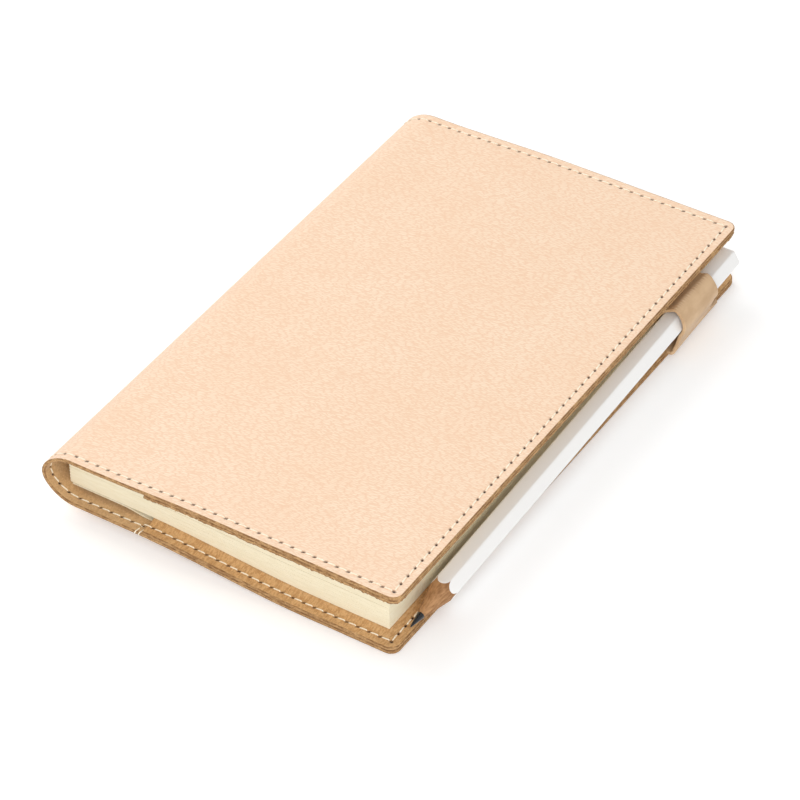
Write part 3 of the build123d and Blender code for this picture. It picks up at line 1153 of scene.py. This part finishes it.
def leaf_stack(name, low, high, seed, wide_gap):
    """The leaves of one half of the notebook; wide_gap is the section with a loose next one."""
    chance = np.random.default_rng(seed)
    pitch = (high[2] - low[2] + section_gap) / sections
    points, faces = [], []
    for number in range(sections):
        bottom = low[2] + number * pitch
        top = bottom + pitch - section_gap - (loose_gap if number == wide_gap else 0)
        shift = chance.uniform(0, cut_error, size=3)
        thickness = (top - bottom) / leaves_in_section
        for leaf in range(leaves_in_section):
            z0 = bottom + leaf * thickness
            z1 = z0 + thickness - leaf_gap
            way = (leaf + 0.5) / leaves_in_section * 2 - 1
            fold = fold_depth * (1 - math.sqrt(1 - way**2))
            fore, tail, head = shift + chance.uniform(0, cut_error, size=3)
            x0, x1 = low[0] + fold, high[0] - fore
            y0, y1 = low[1] + tail, high[1] - head
            first = len(points)
            for x in x0 + (x1 - x0) * leaf_shares:
                points += [(x, y0, z0), (x, y1, z0), (x, y1, z1), (x, y0, z1)]
            faces += tube_faces(len(leaf_shares), 4, first)
    return make_piece(name, points, faces, [paper])


lower_leaves = leaf_stack("lower_leaves", lower_low, lower_high, leaf_seed, wide_gap=-1)
upper_leaves = leaf_stack("upper_leaves", upper_low, upper_high, leaf_seed + 1, wide_gap=3)
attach(lower_leaves, "back")
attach(upper_leaves, "pages")
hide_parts("pages_lower")
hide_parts("pages_upper")

# %% [markdown]
# The card covers leave the block at the spine and step down into their pockets in a soft S, and
# the binding cloth holds the two halves together. Both are strips whose section is drawn once and
# drawn out from tail to head.

# %% Cards and cloth
def strip_along_y(name, middle, thickness, y_places, finishes):
    """A strip of that thickness whose middle line is (x, z) points."""
    way = unit_ways(middle)
    normal = np.stack([-way[:, 1], way[:, 0]], axis=1)
    upper = middle + normal * thickness / 2
    lower = middle - normal * thickness / 2
    outline = np.concatenate([upper, lower[::-1]])
    around = len(outline)
    rows = [np.stack([outline[:, 0], np.full(around, y), outline[:, 1]], axis=1) for y in y_places]
    faces = wrapped_faces(len(rows), around)
    for first in (0, (len(rows) - 1) * around):
        for k in range(around // 2 - 1):
            other = around - 1 - k
            faces.append((first + k, first + k + 1, first + other - 1, first + other))
    return make_piece(name, np.concatenate(rows), faces, finishes)


board_low, board_high = box_mm("back_board")
card_thickness = 0.5
card_from_flap = 2
card_slope = 8
card_rise = board_high[2] - board_low[2] - card_thickness
card_places = np.linspace(board_low[1], board_high[1], 36)
for side, flap_u, body in (("back", back_flap_u, "back"), ("front", front_flap_u, "front")):
    step_end = bend_x + flap_u - card_from_flap
    xs = np.linspace(board_low[0], board_high[0], 80)
    zs = card_rise * smooth_step(xs, step_end, step_end - card_slope)
    zs = board_low[2] + card_thickness / 2 + zs
    if side == "front":
        zs = closed_height - zs
    cover_card = strip_along_y(
        f"{side}_card", np.stack([xs, zs], axis=1), card_thickness, card_places, [card],
    )
    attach(cover_card, body)
    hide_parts(f"{side}_board")

cloth_thickness = cloth_high[0] - cloth_low[0]
cloth_inset = 0.6
cloth_wave = 0.02
cloth_wave_length = 1.1
zs = np.linspace(lower_low[2], upper_high[2], 49)
fold_x = (cloth_low[0] + cloth_high[0]) / 2
xs = fold_x + cloth_wave * np.cos(zs * 2 * math.pi / cloth_wave_length)
cloth_places = np.linspace(cloth_low[1] + cloth_inset, cloth_high[1] - cloth_inset, 60)
binding = strip_along_y(
    "binding_cloth", np.stack([xs, zs], axis=1), cloth_thickness, cloth_places, [weave],
)
gutter = (lower_high[2] + upper_low[2]) / 2
fold_reach = 0.9
fold_start = slumped((fold_x, 0, gutter - fold_reach)) * mm
fold_end = slumped((fold_x, 0, gutter + fold_reach)) * mm
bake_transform(binding)
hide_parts("spine_cloth_lower", "spine_cloth_upper")

# %% [markdown]
# ## The pencil
# A six-sided pencil is a hexagon with rounded corners, and the sharpener cuts a cone into it.
# Where the cone meets the flats the lacquer ends in scallops, so the point where it ends is
# worked out for each direction round the pencil, and the mesh changes finish there.

# %% The pencil's axis
slide = next(j for j in frame["record"]["behaviour"]["joints"] if j["name"] == "pencil_slide")
pencil_along = np.array(slide["axis"])
pencil_across = np.array([0, -pencil_along[2], pencil_along[1]])
lead_radius = (lead_high[0] - lead_low[0]) / 2
flat_radius = (barrel_high[0] - barrel_low[0]) / 2 * math.cos(math.radians(30))
cone_slope = math.tan(math.radians(13.1))
tip_radius = 0.2
tip_length = 0.15
lead_bare = 5.0
lead_hidden = 4
blunt_middle = np.array([
    (lead_low[0] + lead_high[0]) / 2,
    lead_high[1] - lead_radius * pencil_along[2],
    lead_high[2] - lead_radius * pencil_along[1],
])
pencil_length = (blunt_middle[1] - lead_low[1]) / pencil_along[1]
point_middle = blunt_middle - pencil_length * pencil_along
face_angles = np.radians(30 + 60 * np.arange(6))


def rounded_hexagon(angle, flat, sharpness):
    """Radius of a hexagon with soft corners; a higher sharpness rounds them less."""
    facing = np.maximum(np.cos(np.asarray(angle)[..., None] - face_angles), 0)
    return flat * (facing**sharpness).sum(axis=-1) ** (-1 / sharpness)


def around_axis(angle, radius, along):
    """Points round the pencil's axis, at a distance along it from the sharpened point."""
    right = radius * np.cos(angle)
    above = radius * np.sin(angle)
    along = along + 0 * right
    return point_middle + np.stack([right, 0 * right, 0 * right], axis=-1) + (
        above[:, None] * pencil_across + along[:, None] * pencil_along
    )


print("pencil", round(pencil_length, 1), "mm long")

# %% [markdown]
# The shaft is one skin of rings from the lead to the blunt end. Each ring's points may lie at
# different distances along the axis, so that one ring follows the scallops exactly. Cutting a
# hexagon with a cone would give the same line, but with ragged faces along it. The lacquer is
# a thin step on top of the wood, and the blunt end is rounded over.

# %% Shaft
shaft_corners = 120
barrel_sharpness = 34
lacquer_thickness = 0.06
lacquer_rim = ((0.5, 0.02), (1.0, 0.12), (1.0, 0.4))
scallop_reach = 2.3
scallop_share = 0.98
shoulder_radius = 1.5
shoulder_turns = np.radians([15, 30, 45, 60, 75, 90])


def cone_along(radius):
    """How far from the point the sharpened cone has this radius."""
    return lead_bare + (radius - lead_radius) / cone_slope


def cone_radius(along):
    """The cone's radius that far from the point."""
    return lead_radius + (along - lead_bare) * cone_slope


def pencil_shaft():
    """Wood and lacquer from the lead to the blunt end."""
    angles = ring_angles(shaft_corners)
    body = rounded_hexagon(angles, flat_radius - lacquer_thickness, barrel_sharpness)
    half_face = math.pi / 6
    from_middle = np.abs((angles - face_angles[0] + half_face) % (2 * half_face) - half_face)
    lobe = 1 - np.sqrt(1 - (scallop_share * from_middle / half_face) ** 2)
    cone_start = cone_along(lead_radius + 0.02)
    paint_start = cone_along(body.min()) + scallop_reach * lobe
    rows = []
    for share in np.linspace(0, 1, 15):
        along = cone_start + share * (paint_start - cone_start)
        rows.append(around_axis(angles, np.minimum(cone_radius(along), body), along))
    wood_rows = len(rows)
    radius = np.minimum(cone_radius(paint_start), body)
    for rise, step in lacquer_rim:
        rows.append(around_axis(angles, radius + rise * lacquer_thickness, paint_start + step))
    painted = body + lacquer_thickness
    first_full = cone_along(body.max()) + 0.6
    last_full = pencil_length - shoulder_radius
    for share in np.linspace(0, 1, 24):
        rows.append(around_axis(angles, painted, first_full + share * (last_full - first_full)))
    for turn in shoulder_turns:
        inset = shoulder_radius * (1 - math.cos(turn))
        along = last_full + shoulder_radius * math.sin(turn)
        rows.append(around_axis(angles, painted - inset, along))
    for share in (0.6, 0.2):
        rows.append(around_axis(angles, (painted - shoulder_radius) * share, pencil_length))
    faces = tube_faces(len(rows), shaft_corners)
    kinds = [0] * ((wood_rows - 1) * shaft_corners)
    kinds += [1] * ((len(rows) - wood_rows) * shaft_corners) + [0, 1]
    finishes = [cedar, lacquer]
    return make_piece("pencil_shaft", np.concatenate(rows), faces, finishes, kinds)


shaft = pencil_shaft()
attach(shaft, "pencil")
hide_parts("pencil_barrel")

# %% [markdown]
# The lead goes on along the cone and ends in a small worn dome. It is a piece of its own, since
# graphite shines where cedar doesn't, and it reaches a little way into the wood.

# %% Lead
def pencil_point():
    """The sharpened lead, worn round at its tip, and its first part inside the wood."""
    angles = ring_angles(32)
    rows = []
    for part in (0.3, 0.7):
        rows.append(around_axis(angles, tip_radius * part, 0.1 * part**2))
    for share in np.linspace(0, 1, 12):
        radius = tip_radius + share * (lead_radius - tip_radius)
        along = tip_length + share * (lead_bare - tip_length)
        rows.append(around_axis(angles, radius, along))
    rows.append(around_axis(angles, lead_radius, lead_bare + lead_hidden))
    faces = tube_faces(len(rows), len(angles))
    return make_piece("pencil_point", np.concatenate(rows), faces, [graphite])


point = pencil_point()
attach(point, "pencil")
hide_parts("pencil_lead")

# %% [markdown]
# ## The pen loop
# The loop is one strap. Its wide root is held in the seam, leaves the edge, turns up and runs
# round the pencil as a loose tube. Over the pencil the leather was folded, so the tube stands off
# it there in a creased ridge, which is high at the tail rim and low at the head rim. So the
# strap's middle line is drawn for each place along the tube, and its width narrows from the root.

# %% Middle line of the strap
strap_thickness = 1.0
strap_gap = 0.22
strap_sharpness = 9
strap_points = 110
root_points = 34
strap_low_y, strap_high_y = 53.2, 73.4
strap_middle_y = (strap_low_y + strap_high_y) / 2
root_low_y, root_high_y = loop_low[1], loop_high[1]
root_level = outer_leather + 0.05
root_middle = (root_level + margin_top) / 2
ridge_angle = math.radians(77)
ridge_width = math.radians(13)
slack_angles = np.radians([-30, 0, 27, 55, 77, 92, 122, 150])
slack_at_tail = [0.0, 0.1, 0.95, 1.4, 2.2, 1.35, 0.05, 0.0]
slack_at_head = [0.0, 0.05, 0.3, 0.3, 1.0, 0.3, 0.0, 0.0]
root_splay = 0.8
root_path = [(-3.4, 0), (-1.2, 0), (0.5, 0), (1.1, 0.4), (1.5, 1.4)]
root_splays = [0, 0, 1, 1, 0.5]
first_angle, last_angle = math.radians(-30), math.radians(292)
narrow_past_root = 1.2
smoothing_passes = 2


def strap_line(share):
    """Points (x, z), ridge and narrowing of the middle line at a share of the way to the head."""
    radius = flat_radius + strap_gap + strap_thickness / 2
    angles = np.linspace(first_angle, last_angle, strap_points)
    ridge = np.exp(-np.abs(angles - ridge_angle) / ridge_width)
    slack = np.interp(angles, slack_angles, slack_at_tail) * (1 - share)
    slack = slack + np.interp(angles, slack_angles, slack_at_head) * share
    reach = rounded_hexagon(angles, radius, strap_sharpness) + slack
    at_loop = point_middle + pencil_along * (strap_middle_y - point_middle[1])
    round_x = at_loop[0] + reach * np.cos(angles)
    round_z = at_loop[2] + reach * np.sin(angles)
    splay = root_splay * (1 - share) ** 2
    knots = [
        (fore_x + out + splay * part, root_middle + rise)
        for (out, rise), part in zip(root_path, root_splays)
    ]
    knots = np.array([*knots, (round_x[0], round_z[0])])
    chord = np.concatenate([[0], np.cumsum(np.linalg.norm(np.diff(knots, axis=0), axis=1))])
    places = np.linspace(0, chord[-1], root_points)
    root_x, root_z = (np.interp(places, chord, knots[:, part]) for part in (0, 1))
    xs = np.concatenate([root_x[:-1], round_x])
    zs = np.concatenate([root_z[:-1], round_z])
    middle = np.stack([xs, zs], axis=1)
    for _ in range(smoothing_passes):
        middle[1:-1] = (middle[:-2] + 2 * middle[1:-1] + middle[2:]) / 4
    ridges = np.concatenate([0 * root_x[:-1], ridge])
    narrow_root = smooth_step(places[:-1], chord[2], chord[4] + narrow_past_root)
    return middle, ridges, np.concatenate([narrow_root, 1 + 0 * angles])


print("the strap's middle line has", len(strap_line(0)[0]), "points")

# %% [markdown]
# The strap is skinned in columns across its width, each with the middle line of its own place. A
# sheet with a thickness modifier would be quicker, but this way the rims can be pared thinner, as
# a leather worker pares them, and the creases can be marked along the fold for a painted highlight.

# %% The strap
rim_insets = (0.0, 0.06, 0.2)
rim_slims = (0.62, 0.86, 1.0)
strap_columns = 72
root_slim = 0.07
strap_bulge = 0.15
crease_depth = 0.06


def loop_strap():
    """The whole strap, column by column from tail to head, thinner at its cut rims."""
    shares = np.linspace(0, 1, strap_columns)
    inner_columns = [(share, rim_insets[-1], rim_slims[-1]) for share in shares]
    low_rim = [(0.0, *rim) for rim in zip(rim_insets[:-1], rim_slims[:-1])]
    high_rim = [(1.0, *rim) for rim in zip(rim_insets[-2::-1], rim_slims[-2::-1])]
    tilt = pencil_along[2] / pencil_along[1]
    outers, inners, crease_highlights = [], [], []
    for share, inset, slim in low_rim + inner_columns + high_rim:
        middle, ridges, narrowing = strap_line(share)
        way = unit_ways(middle)
        outward = np.stack([way[:, 1], -way[:, 0]], axis=1)
        low_y = root_low_y + narrowing * (strap_low_y - root_low_y) + inset
        high_y = root_high_y + narrowing * (strap_high_y - root_high_y) - inset
        ys = low_y + share * (high_y - low_y)
        half = strap_thickness / 2 * (1 - root_slim + root_slim * narrowing) * slim
        bulge = strap_bulge * narrowing * math.sin(math.pi * share)
        wave = np.sin(ys * 6.3 + 1.1 * np.sin(ys * 1.9))
        # The crease dents the strap and also marks where its painted highlight goes.
        crease_and_highlight = ridges**4 * np.clip(wave, 0, 1) * (slim == 1)
        lift = narrowing * tilt * (ys - strap_middle_y)
        for side, reach in ((outers, half + bulge - crease_depth * crease_and_highlight), (inners, bulge - half)):
            x, z = (middle + outward * reach[:, None]).T
            side.append(np.stack([x, ys, z + lift], axis=1))
        crease_highlights.append(crease_and_highlight)
    points = np.concatenate([np.array(outers), np.array(inners)[::-1]]).transpose(1, 0, 2)
    crease_highlights = np.concatenate([np.array(crease_highlights), 0 * np.array(crease_highlights)]).T
    faces = tube_faces(*points.shape[:2])
    marks = {"crease_and_highlight": crease_highlights.ravel()}
    points = points.reshape(-1, 3)
    return make_piece("loop_strap", points, faces, [strap], None, marks)


band = loop_strap()
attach(band, "back")
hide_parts("pen_loop")

# %% [markdown]
# ## Floor, light and camera
# The object lies on a white sweep, as for a catalogue. A pure white floor would swallow the soft
# shadow, so this one is a little grey, and a weak glow, which only the camera and reflections
# see, lifts it back to white wherever no shadow falls.

# %% Floor
floor_mesh = bpy.data.meshes.new("floor")
floor_half = 3.0
corners = [(-1, -1), (1, -1), (1, 1), (-1, 1)]
floor_level = -0.00005
floor_glow = 0.22
floor_white = (0.9, 0.9, 0.9, 1)
floor_points = [(x * floor_half, y * floor_half, floor_level) for x, y in corners]
floor_mesh.from_pydata(floor_points, [], [(0, 1, 2, 3)])
floor = bpy.data.objects.new("floor", floor_mesh)
bpy.context.scene.collection.objects.link(floor)
floor_finish = Finish("floor", Roughness=1.0, Specular_IOR_Level=0.0, Emission_Strength=1.0)
floor_finish.shader.inputs["Base Color"].default_value = floor_white
rays = floor_finish.node("ShaderNodeLightPath")
glossy_ray = Value(floor_finish, rays.socket.node.outputs["Is Glossy Ray"])
seen = rays.math("MAXIMUM", glossy_ray)
glow = floor_finish.mix(seen, (0, 0, 0, 1), (floor_glow, floor_glow, floor_glow, 1))
floor_finish.feed(floor_finish.shader.inputs["Emission Color"], glow)
floor_mesh.materials.append(floor_finish.material)
print("floor", 2 * floor_half, "m across")

# %% [markdown]
# A pale sky does most of the lighting, and one large soft lamp from the upper left gives the
# shadows their side. A larger one from the near right opens the cut edges. Together they are set
# so that a surface that faces up comes out close to its own colour, without being washed out.

# %% Light
sky_light = 0.64
key_power, fill_power = 6.0, 9.0
world = bpy.data.worlds.new("sky")
world.use_nodes = True
bpy.context.scene.world = world
tree = world.node_tree
background = tree.nodes["Background"]
background.inputs["Color"].default_value = (1, 1, 1, 1)
sky = tree.nodes.new("ShaderNodeLightPath")
sky_strength = tree.nodes.new("ShaderNodeMapRange")
sky_strength.inputs["To Min"].default_value = sky_light
sky_strength.inputs["To Max"].default_value = 1.0
tree.links.new(sky.outputs["Is Camera Ray"], sky_strength.inputs["Value"])
tree.links.new(sky_strength.outputs["Result"], background.inputs["Strength"])


def soft_lamp(name, direction, distance, size, power):
    """A square area lamp that faces the object."""
    data = bpy.data.lights.new(name, "AREA")
    data.shape = "SQUARE"
    data.size = size
    data.energy = power
    lamp = bpy.data.objects.new(name, data)
    bpy.context.scene.collection.objects.link(lamp)
    towards = Vector(direction).normalized()
    lamp.location = towards * distance
    lamp.rotation_euler = towards.to_track_quat("Z", "Y").to_euler()
    return lamp


key = soft_lamp("key", (-1.0, 0.3, 0.9), 1.2, 0.9, key_power)
fill = soft_lamp("fill", (0.55, -0.8, 0.5), 1.3, 1.2, fill_power)
print("lamps:", key.name, fill.name)

# %% [markdown]
# The camera stands about a metre away and looks down on the near corner. Its angles and its lens
# were worked out from the long straight edges of the cover, so they are set as numbers rather
# than with a constraint that would only aim at the middle.

# %% Camera
azimuth = math.radians(32.38)
elevation = math.radians(40.65)
roll = math.radians(-0.233)
camera_distance = 993.3
lens = 157.3
sensor_width = 36.0
aim = Vector((-1.18, -2.94, -2.16))
view_way = Vector((
    -math.sin(azimuth) * math.cos(elevation),
    math.cos(azimuth) * math.cos(elevation),
    -math.sin(elevation),
))
level_right = Vector((math.cos(azimuth), math.sin(azimuth), 0))
level_up = level_right.cross(view_way)
right = level_right * math.cos(roll) + level_up * math.sin(roll)
up = level_up * math.cos(roll) - level_right * math.sin(roll)
camera_data = bpy.data.cameras.new("camera")
camera_data.sensor_width = sensor_width
camera_data.lens = lens
camera_data.clip_start = 0.01
camera = bpy.data.objects.new("camera", camera_data)
bpy.context.scene.collection.objects.link(camera)
turn = Matrix((right, up, -view_way)).transposed().to_4x4()
camera.matrix_world = Matrix.Translation((aim - view_way * camera_distance) * mm) @ turn
bpy.context.scene.camera = camera
bpy.context.scene.view_settings.view_transform = "Standard"
print("camera", round(camera_distance), "mm from the object")
